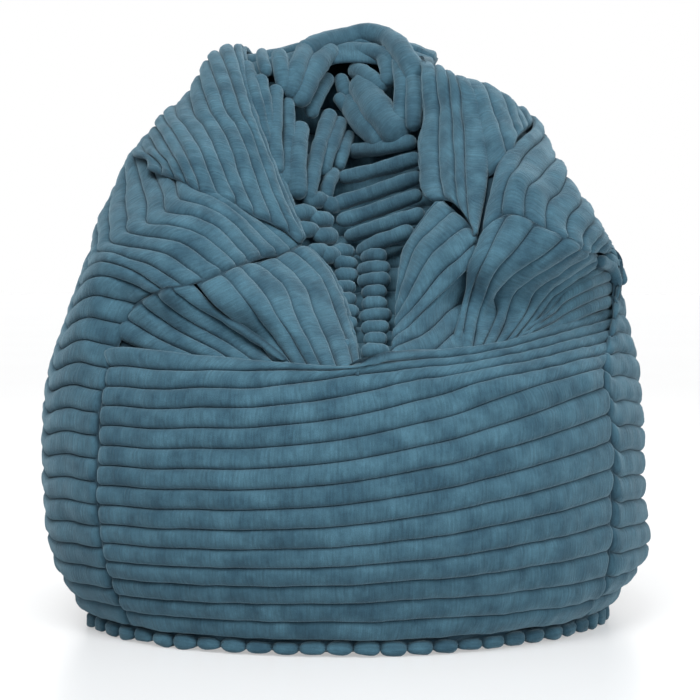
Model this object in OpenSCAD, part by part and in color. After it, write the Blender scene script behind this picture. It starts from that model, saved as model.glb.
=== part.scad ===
// A sack-shaped bean bag chair: four gores, a square base and a small crown cap sewn into a
// ribbed plush cover, over a zipped liner that is filled with beads.
// Millimetres, +Z up, origin on the floor under the middle of the sack. -Y is the seat side.

/* [Overall size] */
// Width from the left gore to the right gore at the belly
body_w = 800; // [700:5:960]
// Depth from the front gore to the back gore at the belly
body_d = 790; // [660:5:950]
// Height from the floor to the crown
body_h = 790; // [660:5:950]
// Height of the belly, where the sack is widest
belly_h = 200; // [160:5:260]
// How far the crown stands behind the middle of the base
crown_back = 180; // [120:5:220]

/* [Base] */
// Width and depth of the square base panel
base_size = 660; // [550:5:690]
// Height of the seam between the base panel and the gores
base_seam_h = 18; // [12:1:24]

/* [Seat] */
// Height of the front lip of the seat
lip_h = 370; // [310:5:440]
// Height of the valley floor at the knot, where the gores gather
knot_h = 690; // [580:5:720]
// How far the knot stands behind the middle of the base
knot_back = 70; // [40:5:110]
// Steepness of the two lobes beside the valley, at the lip
lip_slope = 0.35; // [0.2:0.05:0.6]
// Steepness of the two lobes beside the valley, at the knot
knot_slope = 1.3; // [0.8:0.05:1.5]

/* [Fabric] */
// Thickness of the ribbed plush cover
cover_t = 8; // [6.5:0.5:10]
// Thickness of the woven liner
liner_t = 1; // [0.6:0.1:2]
// Clearance between the cover, the liner and the fill
layer_gap = 0.3; // [0.2:0.1:0.6]
// Half angle of the crown cap, seen from the middle of the sack
cap_angle = 8; // [6:1:11]

/* [Cover zip] */
// Travel of the cover zip's slider
zip_travel = 370; // [240:5:380]
// Width of the slot in the back gore that the zip is sewn into
zip_slot_w = 28; // [22:1:34]
// Length of the closed end that parks the pull tab
zip_park = 36; // [32:1:44]
// Depth of the tapes' outer face below the fabric at its highest point
zip_tape_depth = 6.2; // [5.8:0.1:6.4]
// Thickness of each tape
zip_tape_t = 0.8; // [0.5:0.1:0.8]
// Width of one row of coil
zip_coil_w = 2.6; // [2:0.1:3.4]
// Height of the coil above its tape
zip_coil_t = 2; // [1.6:0.1:2.2]
// Gap between the two rows, which the slider's neck runs in
zip_row_gap = 1.4; // [1.2:0.1:2]
// Length of the pull tab from its pin to its end
tab_l = 26; // [20:1:30]
// Width of the pull tab
tab_w = 7; // [5:0.5:9]

/* [Liner zip] */
// Travel of the liner zip's slider
liner_zip_travel = 200; // [120:5:220]
// Width of the slot in the liner's left gore
liner_slot_w = 16; // [12:1:20]
// Width of one liner tape
liner_tape_w = 12; // [10:0.5:16]
// Width of one row of the liner's coil
liner_coil_w = 1.8; // [1.4:0.1:2.4]
// Height of the liner's coil above its tape
liner_coil_t = 1.2; // [0.9:0.1:1.5]

/* [Hidden] */
$fn = 40;

plush = [0.29, 0.42, 0.48];
plush_dark = [0.24, 0.36, 0.42];
lining = [0.82, 0.83, 0.84];
beads = [0.95, 0.95, 0.96];
zip_cloth = [0.20, 0.29, 0.34];
metal = [0.62, 0.63, 0.65];

// Outline exponents: nearly square at the base, rounder at the crown.
base_squareness = 6;
crown_squareness = 2.4;
// Width of the blend where the lobes meet the valley, as a share of the body.
ridge_blend = 0.06;

// Every layer is measured along rays from this point in the middle of the fill; the shares are
// of the knot's distance back and of the body's height.
core_back_share = 0.85;
core_height_share = 0.215;
core = [0, knot_back * core_back_share, body_h * core_height_share];
gore_cols = 14;
gore_rows = 18;
base_rows = 4;
cap_rows = 2;
search_steps = 22;
reach_max = body_w + body_d + body_h;
just_above_floor = 0.001;

// Layer depths below the outer face of the cover.
liner_out = cover_t + layer_gap;
liner_in = liner_out + liner_t;
fill_out = liner_in + layer_gap;

// ---- The form of the sack ----

function mix(a, b, t) = a + (b - a) * t;
function above_belly(z) = max(0, z - belly_h) / (body_h - belly_h);
function below_belly(z) = max(0, belly_h - z) / belly_h;

// Half width of the outline at height z, for a half width at the belly and at the base.
function half_at(z, belly, base) = belly - (belly - base) * pow(below_belly(z), 2);

function squareness(z) = mix(base_squareness, crown_squareness, min(1, max(0, z) / body_h));

// 1 on the outline of the filled sack, before the seat valley is pressed in.
function dome(p) =
    let (n = squareness(p.z), up = above_belly(p.z),
         hx = half_at(p.z, body_w / 2, base_size / 2),
         hy = half_at(p.z, body_d / 2, base_size / 2),
         y = p.y - crown_back * up * up)
    sqrt(pow(pow(abs(p.x) / hx, n) + pow(abs(y) / hy, n), 2 / n) + up * up);

// Share of the way from the front lip to the knot.
function seat_share(y) = max(0, y + body_d / 2) / (knot_back + body_d / 2);
function valley_top(p) =
    let (s = seat_share(p.y))
    lip_h + (knot_h - lip_h) * s * s + mix(lip_slope, knot_slope, s) * abs(p.x);

// The larger of a and b, rounded where they nearly meet.
function blended_max(a, b, k) =
    let (h = max(k - abs(a - b), 0) / k) max(a, b) + h * h * k / 4;

function is_inside(p) = p.z > 0 && blended_max(dome(p), p.z / valley_top(p), ridge_blend) < 1;

// Distance from start along dir to the outer face, by halving.
function reach(start, dir, low = 0, high = reach_max, left = search_steps) =
    let (middle = (low + high) / 2)
    left == 0 ? low
    : is_inside(start + dir * middle) ? reach(start, dir, middle, high, left - 1)
    : reach(start, dir, low, middle, left - 1);

// ---- Directions from the core ----

function heading(az, el) = [cos(el) * cos(az), cos(el) * sin(az), sin(el)];

// Azimuth of the ray to a corner of the plan; sx and sy are its signs.
function corner_az(sx, sy) = atan2(sy * body_d / 2 - core.y, sx * body_w / 2);
right_back = corner_az(1, 1);
left_back = corner_az(-1, 1);
left_front = corner_az(-1, -1) + 360;
right_front = corner_az(1, -1);

// Elevation of the ray that meets height z on the side of the sack at an azimuth.
function el_at_height(az, z) =
    atan2(z - core.z, reach([core.x, core.y, max(z, just_above_floor)], heading(az, 0)));

seam_top_el = 90 - cap_angle;
function gore_el(az, v) = mix(el_at_height(az, base_seam_h), seam_top_el, v);
function base_el(az, v) = mix(el_at_height(az, 0), -90, v);

// ---- Shells and solids on those rays ----

// The points of one ring at a depth below the outer face.
function ring_at(rays, depth) = [
    for (ray = rays) core + ray[0] * (ray[1] - depth)
];
function cast(azs, el_of) = [
    for (az = azs) let (dir = heading(az, el_of(az))) [dir, reach(core, dir)]
];

function spread(a, b, n) = [for (i = [0:n]) mix(a, b, i / n)];

// Faces of a grid of rows by columns of points, numbered from first; flip turns them inside out.
// falling cuts the cells along the other diagonal, for rows that run downwards.
function grid_faces(first, rows, cols, closed, flip, falling = false) =
    let (pass = closed ? cols : cols - 1)
    [for (r = [0:rows - 2], c = [0:pass - 1])
        let (a = first + r * cols + c, b = first + r * cols + (c + 1) % cols,
             cut = falling ? [[a, b, a + cols], [b, b + cols, a + cols]]
                           : [[a, b, b + cols], [a, b + cols, a + cols]])
        for (t = cut) flip ? [t[2], t[1], t[0]] : t];

// One gore: the outer grid, the inner grid, and the four cut edges.
module gore_shell(az_from, az_to, depth_out, depth_in) {
    azs = spread(az_from, az_to, gore_cols);
    rays = [for (v = spread(0, 1, gore_rows)) cast(azs, function(az) gore_el(az, v))];
    cols = gore_cols + 1;
    rows = gore_rows + 1;
    count = rows * cols;
    points = concat([for (ring = rays) each ring_at(ring, depth_out)],
                    [for (ring = rays) each ring_at(ring, depth_in)]);
    rim = concat([for (c = [0:cols - 1]) c],
                 [for (r = [1:rows - 1]) r * cols + cols - 1],
                 [for (c = [cols - 2:-1:0]) (rows - 1) * cols + c],
                 [for (r = [rows - 2:-1:1]) r * cols]);
    edges = [for (i = [0:len(rim) - 1])
        let (a = rim[i], b = rim[(i + 1) % len(rim)]) [a, b, b + count, a + count]];
    polyhedron(points, concat(grid_faces(0, rows, cols, false, true),
                              grid_faces(count, rows, cols, false, false), edges));
}

// The azimuths of the whole sack, the same ones that the four gores use.
function all_azimuths() = concat(
    [for (i = [0:gore_cols - 1]) mix(right_front, right_back, i / gore_cols)],
    [for (i = [0:gore_cols - 1]) mix(right_back, left_back, i / gore_cols)],
    [for (i = [0:gore_cols - 1]) mix(left_back, left_front, i / gore_cols)],
    [for (i = [0:gore_cols - 1]) mix(left_front, right_front + 360, i / gore_cols)]);

// A closed bowl of rings that ends in a pole; pole_el is 90 at the crown and -90 at the base.
module bowl_shell(rays, pole_el, depth_out, depth_in) {
    cols = len(rays[0]);
    rows = len(rays);
    count = rows * cols;
    pole = heading(0, pole_el);
    pole_reach = pole_el < 0 ? core.z : reach(core, pole);
    up = pole_el > 0;
    last = (rows - 1) * cols;
    points = concat([for (ring = rays) each ring_at(ring, depth_out)],
                    [for (ring = rays) each ring_at(ring, depth_in)],
                    [core + pole * (pole_reach - depth_out), core + pole * (pole_reach - depth_in)]);
    outer_fan = [for (c = [0:cols - 1])
        let (a = last + c, b = last + (c + 1) % cols) up ? [b, a, 2 * count] : [a, b, 2 * count]];
    inner_fan = [for (f = outer_fan) [f[1] + count, f[0] + count, 2 * count + 1]];
    rim = [for (c = [0:cols - 1])
        let (d = (c + 1) % cols) up ? [c, d, d + count, c + count] : [c, c + count, d + count, d]];
    polyhedron(points, concat(grid_faces(0, rows, cols, true, up, !up),
                              grid_faces(count, rows, cols, true, !up, !up),
                              outer_fan, inner_fan, rim));
}

function cap_rays() = [
    for (v = spread(0, 1, cap_rows)) if (v < 1) cast(all_azimuths(), function(az) mix(seam_top_el, 90, v))
];
function base_rays() = concat(
    [cast(all_azimuths(), function(az) gore_el(az, 0))],
    [for (v = spread(0, 1, base_rows)) if (v < 1) cast(all_azimuths(), function(az) base_el(az, v))]);

// The whole body at a depth below the outer face, as one solid.
module core_solid(depth) {
    rings = concat(
        [for (i = [base_rows:-1:1]) base_rays()[i]],
        [for (v = spread(0, 1, gore_rows)) cast(all_azimuths(), function(az) gore_el(az, v))],
        [for (i = [1:cap_rows - 1]) cap_rays()[i]]);
    cols = len(rings[0]);
    rows = len(rings);
    count = rows * cols;
    top_reach = reach(core, [0, 0, 1]);
    points = concat([for (ring = rings) each ring_at(ring, depth)],
                    [core - [0, 0, core.z - depth], core + [0, 0, top_reach - depth]]);
    bottom_fan = [for (c = [0:cols - 1]) [c, (c + 1) % cols, count]];
    top_fan = [for (c = [0:cols - 1])
        [(rows - 1) * cols + (c + 1) % cols, (rows - 1) * cols + c, count + 1]];
    polyhedron(points, concat(grid_faces(0, rows, cols, true, true), bottom_fan, top_fan));
}

// ---- The cover ----

module front_gore() {
    color(plush) gore_shell(left_front, right_front + 360, 0, cover_t);
}

module right_gore() {
    color(plush) gore_shell(right_front, right_back, 0, cover_t);
}

module back_gore() {
    color(plush) difference() {
        gore_shell(right_back, left_back, 0, cover_t);
        on_zip() slot_block(zip_from, zip_to, zip_slot_w, slot_reach);
    }
}

module left_gore() {
    color(plush) gore_shell(left_back, left_front, 0, cover_t);
}

module base_panel() {
    color(plush_dark) bowl_shell(base_rays(), -90, 0, cover_t);
}

module crown_cap() {
    color(plush_dark) bowl_shell(cap_rays(), 90, 0, cover_t);
}

// ---- The cover zip: x runs along it, y is 0 at the fabric's highest point and grows outwards ----

slider_l = 11;
slider_w = 9;
plate_t = 0.8;
running_gap = 0.2;
pin_r = 0.6;
pin_clearance = 0.05;
eye_r = 1;
ear_t = 1.2;
tab_t = 1.2;
stop_l = 4;
ear_l = 4;
slot_reach = 60;
// How far the tab's shoulders stand past its neck, how long the neck is, and the rim of its hole.
tab_shoulder = 1.5;
tab_neck_l = 5;
tab_rim = 1.5;
eye_clearance = 0.1;

zip_start = zip_travel / 2 + slider_l / 2 + stop_l;
zip_from = -zip_start;
zip_to = zip_start + zip_park;
slider_x = zip_travel / 2;
coil_face = zip_coil_t - zip_tape_depth;
outer_plate = coil_face + running_gap;
inner_plate = -zip_tape_depth - zip_tape_t - running_gap - plate_t;
pin_y = outer_plate + plate_t + eye_r + eye_clearance;
ear_gap = tab_w - 2 * tab_shoulder;
neck_w = zip_row_gap - 2 * running_gap;
neck_l = 6;

module on_zip() {
    translate([0, body_d / 2, belly_h]) children();
}

module slot_block(from, to, width, depth) {
    translate([from, -depth, -width / 2]) cube([to - from, 2 * depth, width]);
}

// A flat strip along x from one place to another; y and z give its low and high faces.
module strip(x, y, z) {
    translate([x[0], y[0], z[0]]) cube([x[1] - x[0], y[1] - y[0], z[1] - z[0]]);
}

module zip_tapes() {
    color(zip_cloth) on_zip() for (side = [0, 1]) mirror([0, 0, side])
        strip([zip_from, zip_to], [-zip_tape_depth - zip_tape_t, -zip_tape_depth],
              [zip_row_gap / 2, zip_slot_w / 2]);
}

// A row with a rounded outer face, running along x.
module coil_row(from, to, width, height) {
    bead_r = width / 2;
    translate([from, 0, bead_r]) rotate([90, 0, 90]) linear_extrude(to - from) union() {
        translate([0, -bead_r]) square([height - bead_r, width]);
        intersection() {
            translate([height - bead_r, 0]) circle(bead_r);
            translate([0, -bead_r]) square([height, width]);
        }
    }
}

coil_from = -zip_travel / 2 - slider_l / 2;
coil_to = zip_travel / 2 + slider_l / 2;

module zip_coil_rows() {
    color(zip_cloth) on_zip() for (side = [0, 1]) mirror([0, 0, side])
        translate([0, -zip_tape_depth, zip_row_gap / 2])
            coil_row(coil_from, coil_to, zip_coil_w, zip_coil_t);
}

// One stop across both rows at the closed end's far side, and one on each row where it opens.
module zip_end_stops() {
    y = [-zip_tape_depth, coil_face];
    edge = zip_row_gap / 2 + zip_coil_w;
    color(metal) on_zip() {
        strip([coil_from - stop_l, coil_from], y, [-edge, edge]);
        for (side = [0, 1]) mirror([0, 0, side])
            strip([coil_to, coil_to + stop_l], y, [zip_row_gap / 2, edge]);
    }
}

// A slider plate with rounded ends, lying in the x-z plane.
module slider_plate(y, length, width) {
    nose_r = width / 4;
    translate([0, y + plate_t, 0]) rotate([90, 0, 0]) linear_extrude(plate_t) union() {
        square([length, width - 2 * nose_r], center = true);
        square([length - 2 * nose_r, width], center = true);
        for (sx = [-1, 1], sz = [-1, 1])
            translate([sx * (length / 2 - nose_r), sz * (width / 2 - nose_r)]) circle(nose_r);
    }
}

module zip_slider() {
    color(metal) on_zip() translate([slider_x, 0, 0]) {
        slider_plate(outer_plate, slider_l, slider_w);
        slider_plate(inner_plate, slider_l, slider_w);
        strip([-neck_l / 2, neck_l / 2], [inner_plate + plate_t / 2, outer_plate + plate_t / 2],
              [-neck_w / 2, neck_w / 2]);
        for (side = [0, 1]) mirror([0, 0, side])
            strip([-ear_l / 2, ear_l / 2], [outer_plate + plate_t / 2, pin_y + eye_r],
                  [ear_gap / 2, ear_gap / 2 + ear_t]);
        translate([0, pin_y, -ear_gap / 2 - ear_t / 2]) cylinder(r = pin_r, h = ear_gap + ear_t);
    }
}

module zip_pull_tab() {
    eye_w = ear_gap - 2 * running_gap;
    hole_r = tab_w / 2 - tab_rim;
    color(metal) on_zip() translate([slider_x, pin_y, 0]) difference() {
        union() {
            translate([0, 0, -eye_w / 2]) cylinder(r = eye_r, h = eye_w);
            strip([0, tab_neck_l], [-tab_t / 2, tab_t / 2], [-eye_w / 2, eye_w / 2]);
            strip([tab_neck_l, tab_l - tab_w / 2], [-tab_t / 2, tab_t / 2], [-tab_w / 2, tab_w / 2]);
            translate([tab_l - tab_w / 2, tab_t / 2, 0]) rotate([90, 0, 0])
                cylinder(r = tab_w / 2, h = tab_t);
        }
        translate([0, 0, -tab_w]) cylinder(r = pin_r + pin_clearance, h = 2 * tab_w);
        translate([tab_l - tab_w / 2, tab_w, 0]) rotate([90, 0, 0])
            cylinder(r = hole_r, h = 2 * tab_w);
    }
}

// ---- The liner ----

module liner_front_gore() {
    color(lining) gore_shell(left_front, right_front + 360, liner_out, liner_in);
}

module liner_right_gore() {
    color(lining) gore_shell(right_front, right_back, liner_out, liner_in);
}

module liner_back_gore() {
    color(lining) gore_shell(right_back, left_back, liner_out, liner_in);
}

module liner_left_gore() {
    color(lining) difference() {
        gore_shell(left_back, left_front, liner_out, liner_in);
        on_liner_zip() slot_block(-liner_zip_half, liner_zip_half, liner_slot_w, slot_reach);
    }
}

module liner_base() {
    color(lining) bowl_shell(base_rays(), -90, liner_out, liner_in);
}

module liner_cap() {
    color(lining) bowl_shell(cap_rays(), 90, liner_out, liner_in);
}

// ---- The liner zip: the same axes, on the left gore; its rows face the fill ----

liner_slider_l = 8;
liner_slider_w = 7;
liner_tape_t = 0.5;
liner_zip_margin = 6;
liner_row_gap = zip_row_gap;
liner_zip_half = liner_zip_travel / 2 + liner_slider_l / 2 + liner_zip_margin;

// The liner's left gore lies a little inside the sack's full width, and its facets a little more.
// The tapes lie flat, so they are set past the deepest facet edge that crosses them.
function liner_column(az) = [
    for (v = spread(0, 1, gore_rows)) let (dir = heading(az, gore_el(az, v)))
        core + dir * (reach(core, dir) - liner_in)
];
function at_height(column, z) =
    let (i = [for (k = [0:len(column) - 2]) if (column[k].z <= z && column[k + 1].z > z) k][0],
         a = column[i], b = column[i + 1])
    mix(a, b, (z - a.z) / (b.z - a.z));
liner_face_depth = max([
    for (az = spread(left_back, left_front, gore_cols), side = [-1, 1])
        let (p = at_height(liner_column(az), belly_h + side * liner_tape_w))
        if (abs(p.y) < liner_zip_half) body_w / 2 + p.x
]);
liner_seat_clearance = 0.3;
liner_tape_face = -liner_face_depth - liner_seat_clearance;
liner_coil_face = liner_tape_face - liner_tape_t - liner_coil_t;
liner_zip_pocket = 1.6;
pocket_margin = 1;

module on_liner_zip() {
    translate([-body_w / 2, 0, belly_h]) rotate([0, 0, 90]) children();
}

module liner_zip_tapes() {
    color(lining) on_liner_zip() for (side = [0, 1]) mirror([0, 0, side])
        strip([-liner_zip_half, liner_zip_half], [liner_tape_face - liner_tape_t, liner_tape_face],
              [liner_row_gap / 2, liner_tape_w]);
}

module liner_zip_coil_rows() {
    half = liner_zip_travel / 2 + liner_slider_l / 2;
    color(lining) on_liner_zip() for (side = [0, 1]) mirror([0, 0, side])
        translate([0, liner_tape_face - liner_tape_t, liner_row_gap / 2])
            mirror([0, 1, 0]) coil_row(-half, half, liner_coil_w, liner_coil_t);
}

module liner_zip_slider() {
    outer = liner_tape_face + running_gap;
    inner = liner_coil_face - running_gap - plate_t;
    color(metal) on_liner_zip() translate([liner_zip_travel / 2, 0, 0]) {
        slider_plate(outer, liner_slider_l, liner_slider_w);
        slider_plate(inner, liner_slider_l, liner_slider_w);
        strip([-neck_l / 2, neck_l / 2], [inner + plate_t / 2, outer + plate_t / 2],
              [-neck_w / 2, neck_w / 2]);
    }
}

// ---- The fill ----

module bead_fill() {
    pocket_depth = -liner_coil_face + running_gap + plate_t + liner_zip_pocket;
    color(beads) difference() {
        core_solid(fill_out);
        on_liner_zip() translate([0, -pocket_depth, 0])
            strip([-liner_zip_half - pocket_margin, liner_zip_half + pocket_margin], [0, pocket_depth],
                  [-liner_tape_w - pocket_margin, liner_tape_w + pocket_margin]);
    }
}

front_gore();
right_gore();
back_gore();
left_gore();
base_panel();
crown_cap();
zip_tapes();
zip_coil_rows();
zip_end_stops();
zip_slider();
zip_pull_tab();
liner_front_gore();
liner_right_gore();
liner_back_gore();
liner_left_gore();
liner_base();
liner_cap();
liner_zip_tapes();
liner_zip_coil_rows();
liner_zip_slider();
bead_fill();
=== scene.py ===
"""The looks of a wide-ribbed plush bean bag chair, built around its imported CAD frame.

The cover is made of ribbed sheets and of welts, which are single stuffed ribs. A ribbed sheet lies
between guides, which are curves along the tops of some of its ribs. Most guides are drawn on the
upright plane through the origin and thrown on to the sack along the lines of sight: x and z on
that plane, then the lift towards the eye, all in millimetres. Other sizes are in metres.
"""

import math

import bmesh
import bpy
import numpy as np
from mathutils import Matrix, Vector
from mathutils.bvhtree import BVHTree


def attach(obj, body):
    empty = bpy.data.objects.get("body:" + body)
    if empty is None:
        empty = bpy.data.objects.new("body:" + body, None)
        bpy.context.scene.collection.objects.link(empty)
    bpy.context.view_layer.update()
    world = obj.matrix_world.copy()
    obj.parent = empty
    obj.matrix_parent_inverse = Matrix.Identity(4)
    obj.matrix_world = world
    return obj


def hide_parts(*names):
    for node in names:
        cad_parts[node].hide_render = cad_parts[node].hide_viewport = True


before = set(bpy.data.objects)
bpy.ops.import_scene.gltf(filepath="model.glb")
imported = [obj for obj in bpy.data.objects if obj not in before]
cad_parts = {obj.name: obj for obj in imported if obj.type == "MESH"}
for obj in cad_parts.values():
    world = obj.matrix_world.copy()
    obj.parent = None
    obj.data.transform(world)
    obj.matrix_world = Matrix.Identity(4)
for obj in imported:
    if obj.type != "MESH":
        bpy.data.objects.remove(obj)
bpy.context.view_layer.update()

MM = 0.001
# The camera, and the same eye behind the sack.
EYE = np.array([0.0, -3.0, 0.53])
BACK_EYE = np.array([0.0, 3.0, 0.53])
AIM = np.array([0.0, 0.0, 0.349])
LENS = 115.3

RIB_PITCH = 0.024
RIB_H = 0.0075
BASE_RIB_H = 0.007
# The cloth behind a rib, below its groove.
BACKING = 0.0015
# How unevenly the ends of the ribs of a sheet are cut.
RAGGED = 0.003
COLUMN_STEP = 0.009
# Where the rows of one rib lie, as shares of its width; they crowd at the groove.
RIB_ROWS = (0.0, 0.03, 0.1, 0.22, 0.38, 0.5, 0.62, 0.78, 0.9, 0.97)
# How far the first columns lie from a rib's end, in metres.
END_COLUMNS = (0.0, 0.0008, 0.0022, 0.0045, 0.0075, 0.011, 0.0155)
# How quickly a rib's end rounds off.
TIP_R = 0.008
COVER_NODES = ("front_gore", "right_gore", "back_gore", "left_gore", "base_panel", "crown_cap")

# Every layer is seen whole from the core. The four upright seams lie at these turns around it.
CORE = np.array([0.0, 0.06, 0.17])
RIGHT_BACK, LEFT_BACK, LEFT_SEAM, RIGHT_SEAM = 40.0, 140.0, 228.0, 320.0
BASE_SEAM = 0.018

# In front of these places the plan is rounded; on the left, the liner's zip ends there.
ROUND_FROM_RIGHT, ROUND_FROM_LEFT = -0.03, -0.115
# The plan is rounded in full only where it reaches this far beyond them.
ROUND_LEAST, ROUND_FULL = 0.08, 0.2
ROUND_LEAST_W = 0.1
RIGHT_PULL = 0.022
RIGHT_PULL_FROM = 0.2
FOOT_HALF_W, FOOT_HALF_D = 0.372, 0.405
FOOT_POWER = 2.3
FOOT_TOP = 0.12
SAG_LEFT, SAG_RIGHT = 0.045, 0.075
SAG_Z, SAG_H = 0.07, 0.045
# Nearer to the core than this, the base stays as it is.
FOOT_INSIDE = 0.2

# The open slot of the cover's zip, across the back.
ZIP_Z = 0.2
ZIP_HALF_W = 0.014
ZIP_ENDS = (-0.1945, 0.2305)


# ---- Curves, noise and places ----


def unit(v):
    return v / np.maximum(np.linalg.norm(v, axis=-1, keepdims=True), 1e-9)


def lengths(points):
    """The distance along a row of points, from the first one."""
    steps = np.linalg.norm(np.diff(points, axis=0), axis=-1)
    return np.concatenate([[0.0], np.cumsum(steps)])


def curve(points, shares, dense=12):
    """Points at shares of the length of the smooth curve through the given points."""
    p = np.asarray(points, float)
    if len(p) == 1:
        return np.repeat(p, len(shares), axis=0)
    ends = np.vstack([2 * p[0] - p[1], p, 2 * p[-1] - p[-2]])
    t = np.linspace(0, 1, dense, endpoint=False)[:, None]
    parts = []
    for a, b, c, d in zip(ends[:-3], ends[1:-2], ends[2:-1], ends[3:]):
        parts.append(0.5 * (2 * b + (c - a) * t + (2 * a - 5 * b + 4 * c - d) * t**2
                            + (3 * b - a - 3 * c + d) * t**3))
    fine = np.vstack(parts + [p[-1:]])
    along = lengths(fine)
    want = np.asarray(shares) * along[-1]
    return np.stack([np.interp(want, along, fine[:, k]) for k in range(3)], axis=1)


class Ripple:
    """Smooth seeded noise in space, about -1 to 1."""

    def __init__(self, seed, wavelength, waves=7):
        rng = np.random.default_rng(seed)
        self.k = unit(rng.normal(size=(waves, 3))) * 2 * math.pi / wavelength
        self.k *= rng.uniform(0.6, 1.6, size=(waves, 1))
        self.phase = rng.uniform(0, 2 * math.pi, size=waves)

    def __call__(self, p):
        return np.sin(p @ self.k.T + self.phase).sum(axis=-1) / math.sqrt(len(self.phase) * 2)


SWELL = Ripple(3, 0.11)
DENT = Ripple(5, 0.034)
WOBBLE = Ripple(8, 0.07)


def tree_of(objects, facing_out=False, moved=Vector):
    """The objects' faces as one tree for rays; facing_out keeps only those turned away from the core."""
    verts, faces = [], []
    for o in objects:
        start = len(verts)
        verts += [moved(v.co) for v in o.data.vertices]
        faces += [[start + i for i in p.vertices] for p in o.data.polygons
                  if not facing_out or p.normal.dot((p.center - Vector(CORE)).normalized()) > 0.3]
    return BVHTree.FromPolygons(verts, faces)


def share_of(value, start, end):
    """How far a value has come from start to end, from 0 to 1."""
    return min(max((value - start) / (end - start), 0), 1)


sewn = [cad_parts[n] for n in COVER_NODES]
skin = tree_of(sewn, facing_out=True)


def filled_out(place):
    """Where a place of the sewn shape comes to lie once the filling has rounded it."""
    x, y, z = place
    # The front corners are drawn in to half an ellipse.
    side, middle = (1, ROUND_FROM_RIGHT) if x > 0 else (-1, ROUND_FROM_LEFT)
    if y < middle:
        start = Vector((0, middle, z))
        wide = skin.ray_cast(start, Vector((side, 0, 0)))[3] or 0
        deep = skin.ray_cast(start, Vector((0, -1, 0)))[3] or 0
        if wide > ROUND_LEAST_W and deep > ROUND_LEAST:
            size = math.hypot(x / wide, (y - middle) / deep)
            share = share_of(deep, ROUND_LEAST, ROUND_FULL)
            drawn_in = 1 + share * (min(1 / max(size, 0.01), 1) - 1)
            x *= drawn_in
            y = middle + (y - middle) * drawn_in
    if x > 0:
        x *= 1 - RIGHT_PULL * share_of(z, 0, RIGHT_PULL_FROM) * share_of(y, RIGHT_PULL_FROM, 0)
    # It stands on a rounder foot than its seams draw, and sags a little above it.
    reach = math.hypot(x - CORE[0], y - CORE[1])
    if reach > FOOT_INSIDE:
        across, along = (x - CORE[0]) / reach, (y - CORE[1]) / reach
        bulk = abs(across / FOOT_HALF_W) ** FOOT_POWER + abs(along / FOOT_HALF_D) ** FOOT_POWER
        foot = bulk ** (-1 / FOOT_POWER)
        reach += share_of(z, FOOT_TOP, 0) ** 1.8 * min(foot - reach, 0)
        sag = SAG_LEFT if x < 0 else SAG_RIGHT
        reach *= 1 + sag * across**2 * math.exp(-((z - SAG_Z) / SAG_H) ** 2)
        x, y = CORE[0] + across * reach, CORE[1] + along * reach
    return Vector((x, y, z))


form = tree_of(sewn, facing_out=True, moved=filled_out)


def sighted(eye, x, z, lift, far):
    """The place on the sack that an eye sees at x, z of the upright plane through the origin.

    lift brings it nearer to the eye, so it shows at the same spot. Beside the sack, the place is
    where the line of sight passes it closest, no further than far from the eye.
    """
    ray = unit(np.array([x * MM, 0.0, z * MM]) - eye)
    depth = form.ray_cast(Vector(eye), Vector(ray))[3]
    if depth is None:
        tries = np.arange(2.6, far, 0.01)
        gaps = [form.find_nearest(Vector(eye + ray * d))[3] for d in tries]
        depth = tries[int(np.argmin(gaps))]
    return eye + ray * (depth - lift * MM)


def drawn(points):
    """A guide as it shows from the front, in x, z and lift."""
    return np.array([sighted(EYE, x, z, lift, 3.4) for x, z, lift in points])


def behind(x, z):
    """The place on the back of the sack that shows at x, z from behind it."""
    return sighted(BACK_EYE, x, z, 0.0, 3.2)


def seen_at(x, z, y):
    """The place at depth y that shows at x, z of the upright plane through the origin, in mm."""
    ray = np.array([x * MM, 0.0, z * MM]) - EYE
    return EYE + ray * ((y * MM - EYE[1]) / -EYE[1])


def traced_behind(points):
    return np.array([behind(x, z) for x, z in points])


def placed(points):
    """A guide as it shows from the front, in x, z and depth."""
    return np.array([seen_at(*p) for p in points])


def around(degrees, z):
    """The place on the sack at a height, in a level direction from its core."""
    turn = math.radians(degrees)
    ray = Vector((math.cos(turn), math.sin(turn), 0))
    # The zip's slot is open, so a place on it is measured just above it.
    probe = ZIP_Z + 1.3 * ZIP_HALF_W if abs(z - ZIP_Z) < 1.2 * ZIP_HALF_W else z
    distance = form.ray_cast(Vector((CORE[0], CORE[1], probe)), ray)[3]
    return np.array([CORE[0], CORE[1], z]) + np.array(ray) * distance


def level(from_deg, to_deg, z, rise=0.0, count=17):
    """A guide around the sack at one height; it ends higher by rise."""
    return np.array([around(a, z + rise * s)
                     for a, s in zip(np.linspace(from_deg, to_deg, count), np.linspace(0, 1, count))])


def joined(*parts):
    """One guide from pieces of guides and single places."""
    return np.vstack([np.atleast_2d(p) for p in parts])


# ---- Ribbed sheets and welts ----


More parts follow.
